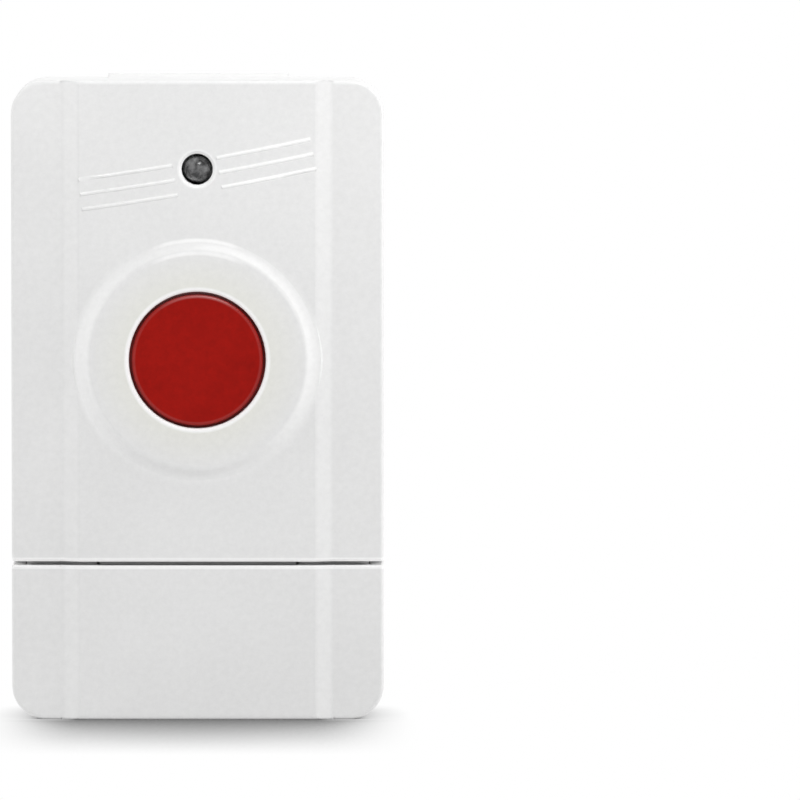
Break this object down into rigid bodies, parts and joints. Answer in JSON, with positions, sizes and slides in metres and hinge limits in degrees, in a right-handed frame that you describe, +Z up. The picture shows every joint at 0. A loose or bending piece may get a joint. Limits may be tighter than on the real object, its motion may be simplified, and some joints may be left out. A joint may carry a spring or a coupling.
{
  "type": "wireless panic button",
  "caption": "Slim upright plastic call transmitter with a flat round push button on a raised boss, an indicator lamp above it and a battery cover that slides off the lower end.",
  "frame": {"origin": "centre of the bounding box at the foot of the case, on the surface that it stands on", "axes": "+Z up the case, -Y out of the front with the button, +X to the right seen from the front"},
  "size_m": [0.0416, 0.015, 0.072],
  "materials": {
    "case_plastic": "fine matt moulded white ABS",
    "button_plastic": "satin moulded deep red ABS",
    "lamp_epoxy": "clear smoky epoxy, unlit",
    "board_laminate": "green solder mask on glass laminate",
    "black_plastic": "black moulding compound",
    "tinned_steel": "bright tin plate",
    "zinc_steel": "zinc plate",
    "resistor_ceramic": "dark glazed chip",
    "capacitor_ceramic": "tan fired chip",
    "enamelled_copper": "enamelled copper wire",
    "battery_steel": "nickel-plated can",
    "battery_sleeve": "plain shrink sleeve",
    "nickel_strip": "nickel-plated spring steel"
  },
  "bodies": {
    "case": {"front_cover": "case_plastic", "rear_shell": "case_plastic", "led_lens": "lamp_epoxy", "led_leads": "tinned_steel", "circuit_board": "board_laminate", "board_screws": "zinc_steel", "switch_body": "black_plastic", "switch_plate": "tinned_steel", "switch_legs": "tinned_steel", "encoder_chip": "black_plastic", "encoder_legs": "tinned_steel", "resonator_can": "tinned_steel", "resonator_leads": "tinned_steel", "rf_transistor": "black_plastic", "transistor_legs": "tinned_steel", "chip_resistors": "resistor_ceramic", "chip_capacitors": "capacitor_ceramic", "tuning_coil": "enamelled_copper", "antenna_coil": "enamelled_copper", "battery_can": "battery_steel", "battery_jacket": "battery_sleeve", "battery_terminal": "battery_steel", "positive_contact": "nickel_strip", "negative_contact": "nickel_strip", "battery_spring": "nickel_strip"},
    "button": {"button_cap": "button_plastic"},
    "switch_stem": {"switch_plunger": "black_plastic"},
    "battery_door": {"battery_cover": "case_plastic"}
  },
  "joints": [
    {"name": "button_press", "type": "slide", "parent": "case", "child": "button", "axis": [0, 1, 0], "range_m": [0, 0.0005], "stiffness_N_per_m": 4000},
    {"name": "plunger_press", "type": "slide", "parent": "case", "child": "switch_stem", "axis": [0, 1, 0], "range_m": [0, 0.0005]},
    {"name": "cover_slide", "type": "slide", "parent": "case", "child": "battery_door", "axis": [0, 0, -1], "range_m": [0, 0.02]}
  ],
  "couplings": [
    {"joint": "plunger_press", "follows": "button_press", "ratio": 1}
  ]
}
